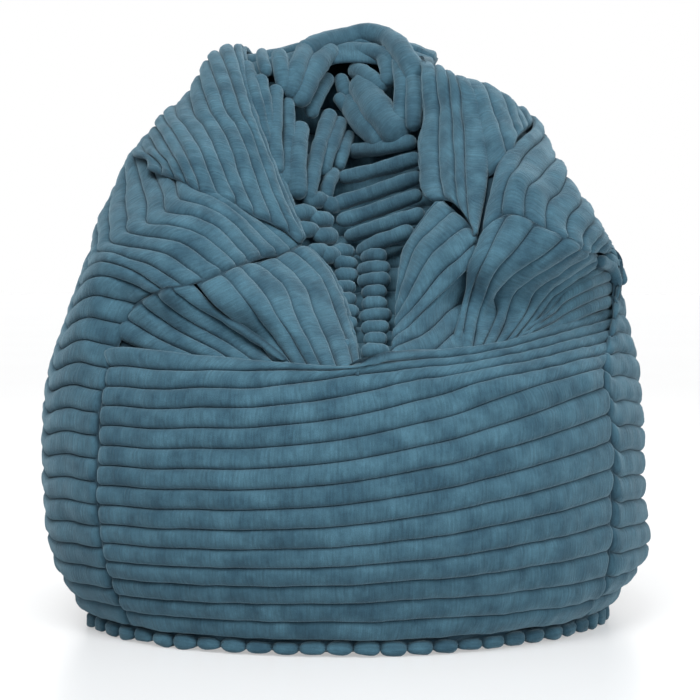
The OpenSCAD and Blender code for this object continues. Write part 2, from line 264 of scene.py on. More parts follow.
class Heap:
    """Gathers closed shells into one mesh, with the coordinates along and across the ribs and the painted
    shade of the grooves.
    """

    def __init__(self):
        self.verts, self.faces, self.rib, self.groove_shade = [], [], [], []
        self.count = 0

    def add(self, verts, faces, rib, groove_shade):
        self.verts.append(verts)
        self.faces += [tuple(int(i) + self.count for i in f) for f in faces]
        self.rib.append(rib)
        self.groove_shade.append(groove_shade)
        self.count += len(verts)

    def piece(self, name, node):
        """Makes the cover piece that stands for a node."""
        mesh = bpy.data.meshes.new(name)
        verts = np.vstack(self.verts)
        verts[:, 2] = np.maximum(verts[:, 2], 0)
        mesh.from_pydata(verts.tolist(), [], self.faces)
        rib = np.vstack(self.rib)
        loops = np.empty(len(mesh.loops), np.int32)
        mesh.loops.foreach_get("vertex_index", loops)
        mesh.uv_layers.new(name="Ribs").data.foreach_set("uv", rib[loops].ravel().astype(np.float32))
        # The painted shade, by which the plush darkens its colour in the grooves.
        shade = mesh.attributes.new("groove_shade", "FLOAT", "POINT")
        shade.data.foreach_set("value", np.concatenate(self.groove_shade).astype(np.float32))
        mesh.shade_smooth()
        mesh.update()
        o = bpy.data.objects.new(name, mesh)
        bpy.context.scene.collection.objects.link(o)
        o.data.materials.append(PLUSH)
        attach(o, "main")
        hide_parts(node)
        return o


def grid_faces(rows, cols, first=0, flip=False, closed=False):
    r, c = np.meshgrid(np.arange(rows - 1), np.arange(cols if closed else cols - 1), indexing="ij")
    a = first + r * cols + c
    b = first + r * cols + (c + 1) % cols
    quads = np.stack([a, b, b + cols, a + cols], axis=-1).reshape(-1, 4)
    return quads[:, ::-1] if flip else quads


def rim_faces(rows, cols, count):
    """The strip that joins the edges of two grids; the second one starts at count."""
    rim = np.concatenate([np.arange(cols), np.arange(1, rows) * cols + cols - 1,
                          (rows - 1) * cols + np.arange(cols - 2, -1, -1),
                          np.arange(rows - 2, 0, -1) * cols])
    nxt = np.roll(rim, -1)
    return np.stack([nxt, rim, rim + count, nxt + count], axis=-1)


def dome(x):
    """A quarter round from 0 to 1."""
    x = np.clip(x, 0, 1)
    return np.sqrt(np.maximum(1 - (1 - x) ** 2, 0))


def ribbed(heap, guides, ribs, seed, height=RIB_H):
    """A closed sheet of ribs with round ends. The first and last guides are its edges."""
    rng = np.random.default_rng(seed)
    span = np.mean([lengths(curve(g, np.linspace(0, 1, 30)))[-1] for g in guides])
    tips = np.array(END_COLUMNS) / span
    inner = max(2, int(round((span - 2 * END_COLUMNS[-1]) / COLUMN_STEP)))
    shares = np.concatenate([tips[:-1], np.linspace(tips[-1], 1 - tips[-1], inner), 1 - tips[-2::-1]])
    rows_at = np.array([k + f for k in range(ribs) for f in RIB_ROWS] + [ribs]) / ribs
    strands = np.array([curve(g, shares) for g in guides])
    top = np.array([curve(strands[:, c], rows_at) for c in range(len(shares))]).transpose(1, 0, 2)
    rows, cols = top.shape[:2]

    # Its normals, turned away from the core.
    across = np.gradient(top, axis=0)
    along = np.gradient(top, axis=1)
    normal = unit(np.cross(along, across))
    outward = top[rows // 2, cols // 2] - CORE
    flip = float(normal[rows // 2, cols // 2] @ outward) < 0
    normal = -normal if flip else normal

    # The section across each rib is a flattened round, and its ends close in a dome.
    index = np.minimum((rows_at * ribs + 1e-6).astype(int), ribs - 1)
    share = rows_at * ribs - index
    wobble = 0.05 * WOBBLE(top) * np.sin(math.pi * share)[:, None]
    side = np.abs(2 * np.clip(share[:, None] + wobble, 0, 1) - 1)
    side[(share == 0) | (share == 1)] = 1.0
    crown = (1 - side**3.2) ** 0.6

    run = shares * span
    jitter = rng.uniform(0, RAGGED, size=(ribs, 2))[index]
    pinch = 0.35 * RIB_PITCH * (1 - np.sqrt(np.maximum(1 - side**4, 0)))
    near_tip = dome((run[None] - jitter[:, :1] - pinch) / TIP_R)
    far_tip = dome((span - run[None] - jitter[:, 1:] - pinch) / TIP_R)
    tip = np.minimum(near_tip, far_tip)
    swell = 1 + rng.uniform(-0.1, 0.1, size=ribs)[index][:, None] + 0.1 * DENT(top)
    uneven = 0.0014 * SWELL(top) + 0.0006 * DENT(top)
    outer = top + normal * (height * (crown * tip * swell - 1) + uneven)[..., None]
    inner_face = top + normal * (uneven - height - BACKING)[..., None]
    verts = np.concatenate([outer.reshape(-1, 3), inner_face.reshape(-1, 3)])
    count = rows * cols
    faces = np.concatenate([grid_faces(rows, cols, 0, not flip), grid_faces(rows, cols, count, flip)])
    rims = rim_faces(rows, cols, count)
    rims = rims if flip else rims[:, ::-1]
    width = np.linalg.norm(across, axis=-1).sum(axis=0).mean()
    u, v = np.meshgrid(run, rows_at * width, indexing="xy")
    rib = np.stack([u, v], axis=-1).reshape(-1, 2)
    # Painted shade: 0 in the grooves and at the rib ends, 1 on the crowns; the inner face gets 0, the
    # darkest.
    groove_shade = (crown * tip).ravel()
    heap.add(verts, np.concatenate([faces, rims]), np.tile(rib, (2, 1)),
             np.concatenate([groove_shade, np.zeros(count)]))


def welt(heap, points, radius, sides=14):
    """A single stuffed rib with round ends along a curve."""
    length = lengths(curve(points, np.linspace(0, 1, 40)))[-1]
    caps = np.array([0.02, 0.12, 0.3, 0.6, 1.0]) * radius / length
    inner = max(2, int(round((length - 2 * radius) / COLUMN_STEP)))
    shares = np.concatenate([caps[:-1], np.linspace(caps[-1], 1 - caps[-1], inner), 1 - caps[-2::-1]])
    line = curve(points, shares)
    ahead = unit(np.gradient(line, axis=0))
    out = unit(line - CORE)
    side = unit(np.cross(ahead, out))
    out = np.cross(side, ahead)
    turn = np.linspace(0, 2 * math.pi, sides, endpoint=False)
    slim = dome(np.minimum(shares, 1 - shares) * length / radius)
    slim = slim * (1 + 0.06 * DENT(line) + 0.05 * SWELL(line))
    ring = np.cos(turn)[None, :, None] * side[:, None] + np.sin(turn)[None, :, None] * out[:, None]
    verts = (line[:, None] + radius * ring * slim[:, None, None]).reshape(-1, 3)
    verts = verts + unit(verts - np.repeat(line, sides, axis=0)) * 0.0006 * DENT(verts)[:, None]
    n = len(shares)
    verts = np.concatenate([verts, line[:1], line[-1:]])
    tube = grid_faces(n, sides, 0, True, closed=True)
    heads = [(n * sides, i, (i + 1) % sides) for i in range(sides)]
    tails = [(n * sides + 1, (n - 1) * sides + (i + 1) % sides, (n - 1) * sides + i) for i in range(sides)]
    u, v = np.meshgrid(shares * length, turn * radius, indexing="ij")
    rib = np.concatenate([np.stack([u, v], axis=-1).reshape(-1, 2), [[0, 0], [length, 0]]])
    # Painted shade: darker on the side turned towards the core.
    groove_shade = np.concatenate([np.tile(0.55 + 0.45 * np.sin(turn), n), [0.5, 0.5]])
    heap.add(verts, [tuple(f) for f in tube] + heads + tails, rib, groove_shade)


# ---- Materials ----


def new_material(name):
    m = bpy.data.materials.new(name)
    m.use_nodes = True
    return m, m.node_tree.nodes, m.node_tree.links


def ramp(nodes, links, source, stops):
    r = nodes.new("ShaderNodeValToRGB")
    r.color_ramp.elements[0].position, r.color_ramp.elements[0].color = stops[0]
    r.color_ramp.elements[1].position, r.color_ramp.elements[1].color = stops[-1]
    for at, colour in stops[1:-1]:
        r.color_ramp.elements.new(at).color = colour
    links.new(source, r.inputs[0])
    return r.outputs[0]


def noise(nodes, links, vector, scale, detail=2.0, roughness=0.5, stretch=None):
    if stretch:
        m = nodes.new("ShaderNodeMapping")
        m.inputs["Scale"].default_value = stretch
        links.new(vector, m.inputs["Vector"])
        vector = m.outputs[0]
    n = nodes.new("ShaderNodeTexNoise")
    n.inputs["Scale"].default_value = scale
    n.inputs["Detail"].default_value = detail
    n.inputs["Roughness"].default_value = roughness
    links.new(vector, n.inputs["Vector"])
    return n.outputs["Fac"]


def multiplied(nodes, links, a, b):
    n = nodes.new("ShaderNodeMix")
    n.data_type = "RGBA"
    n.blend_type = "MULTIPLY"
    n.inputs["Factor"].default_value = 1.0
    links.new(a, n.inputs["A"])
    links.new(b, n.inputs["B"])
    return n.outputs["Result"]


def bump(nodes, links, height, strength, distance, normal=None):
    n = nodes.new("ShaderNodeBump")
    n.inputs["Strength"].default_value = strength
    n.inputs["Distance"].default_value = distance
    links.new(height, n.inputs["Height"])
    if normal:
        links.new(normal, n.inputs["Normal"])
    return n


def grey(value):
    return (value, value, value, 1)


def plush(name, deep, lit):
    """Short pile, brushed across the ribs, with its own uneven tone and painted sheen where it lies flat,
    and painted shade in the grooves.
    """
    m, nodes, links = new_material(name)
    bsdf = nodes["Principled BSDF"]
    place = nodes.new("ShaderNodeTexCoord").outputs["Object"]
    ribs = nodes.new("ShaderNodeUVMap")
    ribs.uv_map = "Ribs"
    groove_shade = nodes.new("ShaderNodeAttribute")
    groove_shade.attribute_name = "groove_shade"
    # The pile's own uneven tone, partly painted sheen: the lit colour stands for light caught where the pile
    # lies flat.
    mottle_and_sheen = noise(nodes, links, place, 30.0, 3.0, 0.6)
    pile = noise(nodes, links, place, 900.0, 2.0, 0.6)
    brush = noise(nodes, links, ribs.outputs[0], 60.0, 2.0, 0.5, stretch=(6.0, 0.6, 1.0))
    base = ramp(nodes, links, mottle_and_sheen, [(0.34, (*deep, 1)), (0.66, (*lit, 1))])
    streak = ramp(nodes, links, brush, [(0.3, grey(0.72)), (0.7, grey(1.0))])
    hair = ramp(nodes, links, pile, [(0.35, grey(0.78)), (0.65, grey(1.0))])
    # Painted shade: the colour darkens in the grooves, at the rib ends, on the welts' inner sides and on the
    # web.
    depth = ramp(nodes, links, groove_shade.outputs["Fac"],
                 [(0.0, (0.42, 0.42, 0.44, 1)), (0.45, (0.86, 0.86, 0.87, 1)), (1.0, grey(1.0))])
    colour = base
    for shade in (streak, hair, depth):
        colour = multiplied(nodes, links, colour, shade)
    links.new(colour, bsdf.inputs["Base Color"])
    bsdf.inputs["Roughness"].default_value = 0.85
    bsdf.inputs["Specular IOR Level"].default_value = 0.15
    bsdf.inputs["Sheen Weight"].default_value = 0.5
    bsdf.inputs["Sheen Roughness"].default_value = 0.45
    bsdf.inputs["Sheen Tint"].default_value = (0.55, 0.78, 0.9, 1)
    fine = bump(nodes, links, pile, 0.5, 0.0012)
    stripes = bump(nodes, links, brush, 0.5, 0.0016, fine.outputs[0])
    links.new(stripes.outputs[0], bsdf.inputs["Normal"])
    return m


def woven(name, colour, scale):
    m, nodes, links = new_material(name)
    bsdf = nodes["Principled BSDF"]
    place = nodes.new("ShaderNodeTexCoord").outputs["Object"]
    waves = []
    for axis in ("X", "Z"):
        w = nodes.new("ShaderNodeTexWave")
        w.bands_direction = axis
        w.inputs["Scale"].default_value = scale
        w.inputs["Distortion"].default_value = 0.4
        links.new(place, w.inputs["Vector"])
        waves.append(w.outputs["Fac"])
    weave = multiplied(nodes, links, waves[0], waves[1])
    dark = tuple(c * 0.72 for c in colour)
    cloth = ramp(nodes, links, weave, [(0.0, (*dark, 1)), (0.7, (*colour, 1))])
    links.new(cloth, bsdf.inputs["Base Color"])
    bsdf.inputs["Roughness"].default_value = 0.8
    threads = bump(nodes, links, weave, 0.4, 0.0004)
    links.new(threads.outputs[0], bsdf.inputs["Normal"])
    return m


def nylon(name, colour):
    """Coil: turns of thread across the row."""
    m, nodes, links = new_material(name)
    bsdf = nodes["Principled BSDF"]
    place = nodes.new("ShaderNodeTexCoord").outputs["Object"]
    turns = nodes.new("ShaderNodeTexWave")
    turns.inputs["Scale"].default_value = 180.0
    links.new(place, turns.inputs["Vector"])
    # Painted shade: the coil darkens between its turns.
    dark = tuple(c * 0.35 for c in colour)
    shade = ramp(nodes, links, turns.outputs["Fac"], [(0.1, (*dark, 1)), (0.6, (*colour, 1))])
    links.new(shade, bsdf.inputs["Base Color"])
    bsdf.inputs["Roughness"].default_value = 0.4
    raised = bump(nodes, links, turns.outputs["Fac"], 0.8, 0.0006)
    links.new(raised.outputs[0], bsdf.inputs["Normal"])
    return m


def plated(name):
    m, nodes, links = new_material(name)
    bsdf = nodes["Principled BSDF"]
    place = nodes.new("ShaderNodeTexCoord").outputs["Object"]
    brushed = noise(nodes, links, place, 300.0, 3.0, 0.6, stretch=(0.2, 1.0, 3.0))
    shade = ramp(nodes, links, brushed, [(0.3, (0.42, 0.43, 0.45, 1)), (0.7, (0.62, 0.63, 0.65, 1))])
    rough = ramp(nodes, links, brushed, [(0.3, grey(0.28)), (0.7, grey(0.42))])
    links.new(shade, bsdf.inputs["Base Color"])
    links.new(rough, bsdf.inputs["Roughness"])
    bsdf.inputs["Metallic"].default_value = 1.0
    return m


def beads(name):
    m, nodes, links = new_material(name)
    bsdf = nodes["Principled BSDF"]
    place = nodes.new("ShaderNodeTexCoord").outputs["Object"]
    cells = nodes.new("ShaderNodeTexVoronoi")
    cells.inputs["Scale"].default_value = 260.0
    links.new(place, cells.inputs["Vector"])
    # Painted light and shade: each bead is paler in its middle and darker where it meets the next.
    shade = ramp(nodes, links, cells.outputs["Distance"],
                 [(0.2, (0.9, 0.9, 0.91, 1)), (0.8, (0.6, 0.61, 0.63, 1))])
    links.new(shade, bsdf.inputs["Base Color"])
    bsdf.inputs["Roughness"].default_value = 0.7
    balls = bump(nodes, links, cells.outputs["Distance"], 1.0, 0.002)
    balls.invert = True
    links.new(balls.outputs[0], bsdf.inputs["Normal"])
    return m


PLUSH = plush("teal_plush", (0.044, 0.114, 0.166), (0.086, 0.204, 0.278))
LINING = woven("liner_weave", (0.66, 0.67, 0.69), 500.0)
ZIP_CLOTH = woven("zip_tape_weave", (0.035, 0.07, 0.095), 700.0)
COIL = nylon("zip_nylon", (0.05, 0.09, 0.12))
LINER_COIL = nylon("liner_nylon", (0.6, 0.61, 0.63))
METAL = plated("plated_metal")
BEADS = beads("foam_beads")


# ---- The front gore: the panel under the lip, the two slopes beside the valley, the pleats ----


def front_panel(heap):
    """The level ribs from the base seam to the lip, and the short ribs that end in its crease."""
    levels = [level(LEFT_SEAM, RIGHT_SEAM, z) for z in (BASE_SEAM, 0.06, 0.12, 0.18, 0.24, 0.30, 0.34)]
    lip = drawn([(-338, 350, 4), (-308, 354, 8), (-252, 350, 8), (-174, 344, 8), (-80, 334, 8), (14, 328, 6),
                 (66, 342, 8), (134, 354, 8), (200, 362, 8), (280, 386, 4), (372, 416, 0)])
    ribbed(heap, levels + [lip], 15, seed=11)
    crease = drawn([(228, 376, 4), (272, 408, 5), (290, 430, 5), (326, 448, 4), (356, 462, 0)])
    under = drawn([(224, 360, 0), (280, 378, 0), (334, 400, 0), (372, 412, -2)])
    ribbed(heap, [under, crease], 3, seed=12)


def left_slope(heap):
    """The small fold at the seam, then the lobe that turns over into the valley."""
    ribbed(heap, [
        drawn([(-326, 368, 2), (-252, 342, -8), (-168, 312, -18)]),
        drawn([(-298, 402, 2), (-196, 354, -2), (-134, 320, -16)]),
        drawn([(-268, 418, 2), (-172, 362, 2), (-118, 328, -12)]),
        drawn([(-244, 430, 2), (-152, 372, 4), (-100, 334, -8)]),
        drawn([(-212, 440, 2), (-166, 392, 0), (-86, 328, -8)]),
    ], 5, seed=13)
    ribbed(heap, [
        drawn([(-204, 440, 2), (-178, 404, 0), (-138, 368, 0), (-90, 326, -10)]),
        drawn([(-172, 456, 4), (-128, 412, 10), (-80, 372, 10), (-40, 320, -6)]),
        drawn([(-138, 470, 4), (-88, 428, 12), (-46, 380, 14), (-14, 320, -4)]),
        drawn([(-100, 478, 4), (-60, 442, 14), (-26, 398, 18), (2, 320, 0)]),
        drawn([(-64, 494, 4), (-32, 464, 16), (-14, 428, 22), (-2, 386, 22), (14, 322, 6)]),
        drawn([(-58, 486, -40), (-26, 456, -36), (-6, 422, -34), (6, 382, -30), (18, 320, -20)]),
    ], 7, seed=14)


def right_fan(heap):
    ribbed(heap, [
        drawn([(136, 346, -10), (148, 416, 6), (158, 468, 6), (172, 508, 4)]),
        drawn([(144, 346, -10), (160, 412, 10), (182, 476, 10), (204, 534, 6)]),
        drawn([(152, 346, -10), (174, 406, 10), (200, 468, 10), (236, 528, 6)]),
        drawn([(160, 346, -10), (190, 406, 10), (224, 464, 10), (262, 514, 6)]),
        drawn([(174, 348, -10), (210, 416, 10), (246, 466, 10), (280, 506, 6)]),
        drawn([(188, 350, -10), (230, 414, 10), (268, 462, 10), (306, 492, 6)]),
        drawn([(210, 354, -10), (254, 418, 8), (292, 452, 8), (326, 478, 4)]),
        drawn([(236, 362, -8), (272, 402, 2), (292, 426, 2), (326, 444, 2), (352, 460, 0)]),
    ], 8, seed=15)


def right_inner_lobe(heap):
    ribbed(heap, [
        drawn([(70, 416, -40), (80, 476, -40), (102, 516, -40), (130, 550, -40)]),
        drawn([(58, 414, 4), (68, 476, 8), (90, 516, 12), (120, 554, 14)]),
        drawn([(56, 392, 4), (100, 464, 16), (136, 496, 16), (166, 516, 4)]),
        drawn([(54, 374, 4), (118, 432, 16), (148, 456, 8), (174, 486, -10)]),
        drawn([(54, 358, 2), (118, 410, 12), (144, 430, 6), (168, 452, -10)]),
        drawn([(58, 338, -4), (110, 378, 8), (136, 400, 2), (164, 416, -10)]),
        drawn([(72, 306, -14), (116, 322, -6), (136, 338, -6), (160, 356, -12)]),
    ], 8, seed=16)


def valley_floor(heap):
    ribbed(heap, [
        drawn([(-20, 320, -40), (24, 320, -40), (70, 320, -40)]),
        drawn([(-30, 402, -50), (20, 402, -50), (78, 402, -50)]),
        drawn([(-66, 484, -55), (20, 484, -60), (108, 484, -55)]),
        drawn([(-104, 564, -55), (6, 564, -70), (116, 564, -55)]),
        drawn([(-132, 644, -60), (-6, 644, -90), (120, 644, -60)]),
        drawn([(-148, 710, -40), (-14, 710, -70), (120, 710, -40)]),
    ], 15, seed=17)


def pleats(heap):
    """Two strips of short ribs, stacked from the lip up the valley."""
    bottom, rise, count = 346, 16, 9
    for i in range(count):
        z = bottom + rise * i
        lean = 6 * math.sin(1.7 * i)
        welt(heap, drawn([(16 + lean / 2, z - 3, -26), (32, z + 2, -12), (52 - lean / 2, z, -24)]), 0.0095)
        welt(heap, drawn([(-24 - lean, z + 3, -32), (-8, z + 8, -18), (8 - lean / 2, z + 4, -30)]), 0.0095)
    bunched = ((-64, 530, 16), (-48, 548, 14), (-40, 522, 14), (-34, 500, 14), (-44, 478, 13),
               (-58, 508, 13), (-30, 474, 12), (-26, 540, 10))
    for x, z, half in bunched:
        welt(heap, drawn([(x - half, z - 4, -34), (x, z + 4, -22), (x + half, z - 2, -34)]), 0.0115)


def valley_welts(heap):
    """The slanting rolls under the knot."""
    for points, radius in (
        ([(0, 614, -30), (46, 620, -20), (88, 628, -30)], 0.011),
        ([(-16, 578, -30), (30, 588, -18), (94, 606, -30)], 0.011),
        ([(-26, 542, -30), (26, 558, -18), (96, 582, -30)], 0.0105),
        ([(-18, 520, -30), (34, 536, -18), (96, 558, -30)], 0.010),
        ([(-6, 500, -30), (46, 516, -18), (100, 532, -30)], 0.0105),
        ([(10, 480, -30), (46, 496, -18), (86, 510, -30)], 0.0105),
    ):
        welt(heap, drawn(points), radius)


def front_cover():
    heap = Heap()
    for part in (front_panel, left_slope, right_fan, right_inner_lobe, valley_floor, pleats, valley_welts):
        part(heap)
    return heap


# ---- The side gores: their ribs climb from the front seam to the back seam ----


def left_cover():
    heap = Heap()
    low = [level(LEFT_BACK, LEFT_SEAM, z, rise)
           for z, rise in ((BASE_SEAM, 0), (0.10, -0.02), (0.20, -0.04), (0.32, -0.08), (0.43, -0.12))]
    side = 160
    high = [
        joined(around(LEFT_BACK, 0.52), around(side, 0.50), drawn([(-354, 460, 0), (-294, 402, -2)])),
        joined(around(LEFT_BACK, 0.59), around(side, 0.57),
               drawn([(-334, 528, 0), (-286, 484, 0), (-244, 432, -2)])),
        joined(around(LEFT_BACK, 0.64), drawn([(-308, 588, -2), (-240, 530, 0), (-170, 456, -2)])),
        joined(behind(-200, 680), drawn([(-268, 638, -12), (-200, 564, 0), (-118, 476, -2)])),
        joined(behind(-160, 710), drawn([(-214, 616, -14), (-134, 534, -6), (-82, 482, -4)])),
        joined(behind(-130, 720), drawn([(-168, 596, -16), (-94, 524, -8), (-58, 492, -6)])),
    ]
    ribbed(heap, low + high, 26, seed=21)
    return heap


def right_cover():
    heap = Heap()
    low = [level(RIGHT_SEAM, 360 + RIGHT_BACK, z, rise)
           for z, rise in ((BASE_SEAM, 0), (0.08, 0.02), (0.16, 0.04), (0.25, 0.06), (0.34, 0.09))]
    side = 20
    high = [
        joined(drawn([(352, 462, 0), (358, 472, 0)]), around(side, 0.54), around(RIGHT_BACK, 0.56)),
        joined(drawn([(326, 478, 4), (338, 512, 2)]), around(RIGHT_BACK, 0.61)),
        joined(drawn([(306, 492, 4), (318, 544, 2)]), around(RIGHT_BACK, 0.65)),
        joined(drawn([(280, 506, 4), (298, 572, 2)]), behind(235, 660)),
        joined(drawn([(262, 514, 4), (272, 564, 6), (280, 606, 2)]), behind(205, 685)),
        joined(drawn([(236, 528, 4), (246, 584, 6), (264, 634, 2)]), behind(180, 705)),
        joined(drawn([(204, 534, 4), (220, 596, 6), (248, 658, 2)]), behind(155, 720)),
        joined(drawn([(172, 508, -2), (182, 556, 0), (208, 616, 0), (242, 662, 0)]), behind(135, 728)),
    ]
    ribbed(heap, low + high, 26, seed=31)
    # Two loose rib ends cover the corner between the fan, the lip and this gore.
    welt(heap, drawn([(332, 468, 2), (348, 460, 5), (358, 432, 3)]), 0.009)
    welt(heap, drawn([(342, 474, 0), (356, 462, 3), (366, 436, 0)]), 0.008)
    return heap


# ---- The back gore: round the back, over the lobes, and down into the valley ----


def back_lower(heap):
    """The level ribs below and above the zip's slot, and one more rib at each end of it."""
    right, left = RIGHT_BACK, LEFT_BACK
    low, high = ZIP_Z - ZIP_HALF_W, ZIP_Z + ZIP_HALF_W
    ribbed(heap, [level(right, left, z) for z in (BASE_SEAM, 0.10, low)], 7, seed=41)
    ribbed(heap, [level(right, left, z) for z in (high, 0.30, 0.40, 0.50, 0.60)], 16, seed=42)
    reach = around(90, ZIP_Z)[1] - CORE[1]
    for edge, corner, seed in ((ZIP_ENDS[1], right, 43), (ZIP_ENDS[0], left, 44)):
        stop = math.degrees(math.atan2(reach, edge))
        ribbed(heap, [level(corner, stop, z, count=5) for z in (low, high)], 1, seed=seed)


def back_upper(heap):
    """The ribs over the top of the back, down to where the crown is gathered."""
    ribbed(heap, [
        traced_behind([(262, 596), (150, 600), (0, 602), (-150, 600), (-262, 596)]),
        traced_behind([(225, 650), (120, 660), (0, 655), (-120, 660), (-225, 650)]),
        traced_behind([(185, 700), (100, 712), (0, 708), (-100, 712), (-185, 700)]),
        traced_behind([(130, 745), (70, 756), (0, 752), (-80, 752), (-140, 745)]),
        placed([(120, 745, 150), (60, 765, 150), (0, 770, 160), (-80, 755, 150), (-150, 740, 140)]),
        placed([(110, 725, 60), (60, 735, 70), (0, 740, 80), (-80, 730, 70), (-130, 715, 60)]),
    ], 9, seed=45)


def left_crest(heap):
    """The ribs that come over the top left and end on the seam of the left gore."""
    ribbed(heap, [
        joined(behind(-285, 565), drawn([(-290, 614, 4), (-266, 600, 4)])),
        joined(behind(-255, 610), drawn([(-254, 662, 6), (-230, 616, 10), (-212, 570, 8)])),
        joined(behind(-225, 655), drawn([(-220, 690, 6), (-196, 630, 12), (-168, 554, 10)])),
        joined(behind(-195, 684), drawn([(-200, 724, 6), (-172, 644, 12), (-128, 534, 10)])),
        joined(behind(-165, 700), drawn([(-184, 748, 6), (-150, 650, 12), (-96, 520, 10)])),
        joined(behind(-130, 708), drawn([(-150, 758, 4), (-132, 666, 12), (-112, 612, 14), (-62, 496, 10)])),
        joined(behind(-110, 700),
               drawn([(-134, 750, -40), (-118, 666, -36), (-100, 612, -36), (-54, 500, -36)])),
    ], 12, seed=46)


def right_flaps(heap):
    """Two flaps that hang over the top right, one beside the other."""
    ribbed(heap, [
        joined(behind(100, 720),
               drawn([(104, 730, -40), (102, 666, -40), (100, 624, -40), (102, 578, -40), (110, 550, -40)])),
        joined(behind(110, 720),
               drawn([(92, 734, 0), (96, 666, 8), (90, 624, 12), (92, 578, 12), (100, 550, 10)])),
        joined(behind(125, 716), drawn([(116, 730, 2), (122, 666, 14), (126, 604, 18), (130, 552, 16)])),
        joined(behind(140, 712), drawn([(142, 716, 2), (152, 664, 14), (156, 604, 18), (164, 512, 14)])),
        joined(behind(150, 706), drawn([(160, 708, 2), (176, 658, 8), (184, 596, 4), (176, 502, -8)])),
    ], 5, seed=47)
    ribbed(heap, [
        joined(behind(150, 706), drawn([(144, 714, 0), (164, 658, 4), (178, 582, -4)])),
        joined(behind(160, 700), drawn([(164, 710, 2), (188, 654, 10), (196, 596, 0)])),
        joined(behind(172, 692), drawn([(182, 706, 2), (208, 660, 10), (210, 614, 0)])),
        joined(behind(184, 680), drawn([(204, 690, 2), (224, 662, 8), (228, 636, 0)])),
        joined(behind(195, 668), drawn([(224, 676, 2), (240, 664, 4), (248, 652, -2)])),
    ], 5, seed=48)


def fingers(heap):
    """The rib ends that stand and hang around the mouth of the crown."""
    for points, radius in (
        ([(-120, 714, -20), (-112, 670, -14), (-106, 628, -20)], 0.0095),
        ([(-98, 700, -22), (-100, 644, -12), (-98, 584, -22)], 0.0105),
        ([(-82, 684, -26), (-82, 616, -18), (-86, 568, -26)], 0.009),
        ([(-66, 650, -22), (-70, 604, -8), (-70, 552, -22)], 0.0125),
        ([(-26, 666, -26), (-44, 610, -10), (-56, 548, -22)], 0.011),
        ([(-12, 656, -30), (-26, 620, -14), (-38, 584, -26)], 0.0105),
        ([(0, 638, -30), (-10, 614, -16), (-16, 590, -26)], 0.009),
        ([(-20, 588, -28), (-30, 568, -18), (-32, 548, -28)], 0.0095),
        ([(-138, 730, -22), (-126, 686, -12), (-110, 620, -22)], 0.009),
        ([(-118, 746, -10), (-116, 734, -4), (-110, 716, -14)], 0.0085),
        ([(-94, 746, -8), (-92, 724, 0), (-86, 692, -14)], 0.011),
        ([(-56, 754, -6), (-70, 726, 4), (-80, 686, -12)], 0.0125),
        ([(-22, 750, -10), (-48, 722, 4), (-70, 676, -12)], 0.0145),
        ([(-28, 714, -30), (-42, 688, -20), (-54, 660, -28)], 0.010),
    ):
        welt(heap, drawn(points), radius)


def back_cover():
    heap = Heap()
    for part in (back_lower, back_upper, left_crest, right_flaps, fingers):
        part(heap)
    return heap


# ---- The crown: the band over the top and the knot under it ----


def crown_cover():
    heap = Heap()
    for points, radius in (
        ([(-66, 742, -8), (-38, 758, 2), (-6, 764, 4), (22, 770, 4), (50, 764, 4), (72, 742, 2),
          (90, 708, -4)], 0.0150),
        ([(-40, 734, -18), (-8, 744, -8), (30, 746, -8), (62, 730, -8)], 0.0110),
        ([(66, 742, -8), (70, 698, 0), (66, 644, -10)], 0.0115),
        ([(84, 738, -10), (86, 690, -2), (84, 642, -12)], 0.0115),
        ([(14, 706, -20), (38, 668, -2), (70, 630, -16)], 0.022),
        ([(0, 682, -24), (16, 654, -8), (50, 622, -22)], 0.017),
        ([(4, 724, -12), (24, 714, -2), (46, 694, -12)], 0.0125),
        ([(40, 748, -10), (50, 726, -4), (50, 700, -12)], 0.0115),
        ([(-14, 716, -22), (-6, 694, -14), (2, 678, -20)], 0.0095),
        ([(-18, 690, -24), (-6, 674, -16), (8, 660, -24)], 0.009),
        ([(32, 750, -16), (18, 738, -12), (10, 724, -20)], 0.0085),
    ):
        welt(heap, drawn(points), radius)
    return heap


# ---- The base: its ribs run from front to back ----


def base_cover():
    heap = Heap()
    foot = np.array([around(a, BASE_SEAM) for a in range(0, 360, 3)])
    front_edge = foot[foot[:, 1] <= CORE[1]]
    back_edge = foot[foot[:, 1] >= CORE[1]]
    front_edge = front_edge[np.argsort(front_edge[:, 0])]
    back_edge = back_edge[np.argsort(back_edge[:, 0])]
    seam_in = 0.004
    half = min(-foot[:, 0].min(), foot[:, 0].max()) - seam_in
    guides = []
    for share in (-1, -0.97, -0.9, -0.75, -0.5, -0.25, 0, 0.25, 0.5, 0.75, 0.9, 0.97, 1):
        # Each rib starts at the seam in front, turns under, lies on the floor and comes up behind.
        x = half * share
        front = np.interp(x, front_edge[:, 0], front_edge[:, 1])
        back = np.interp(x, back_edge[:, 0], back_edge[:, 1])
        guides.append(np.array([
            (x, front + 0.008, BASE_SEAM + seam_in), (x, front + 0.001, 0.010), (x, front + 0.012, 0.001),
            (x, front * 0.5, 0.0), (x, 0.0, 0.0), (x, back * 0.5, 0.0),
            (x, back - 0.012, 0.001), (x, back - 0.001, 0.010), (x, back - 0.008, BASE_SEAM + seam_in)]))
    ribbed(heap, guides, 27, height=BASE_RIB_H, seed=51)
    return heap


# ---- The cover: each gore's ribs with the cloth that they are woven on ----

WEB_DEPTH = 0.0085
WEB_T = 0.001
# The thickness of the CAD cover.
COVER_T = 0.008
# Above this height the ribs lie in folds, so the cloth also keeps below the ribs beside it.
FOLDS_FROM = 0.3
PROBE_STEP = 0.012
PROBES = [(i * PROBE_STEP, j * PROBE_STEP) for i in (-1, 0, 1) for j in (-1, 0, 1)]


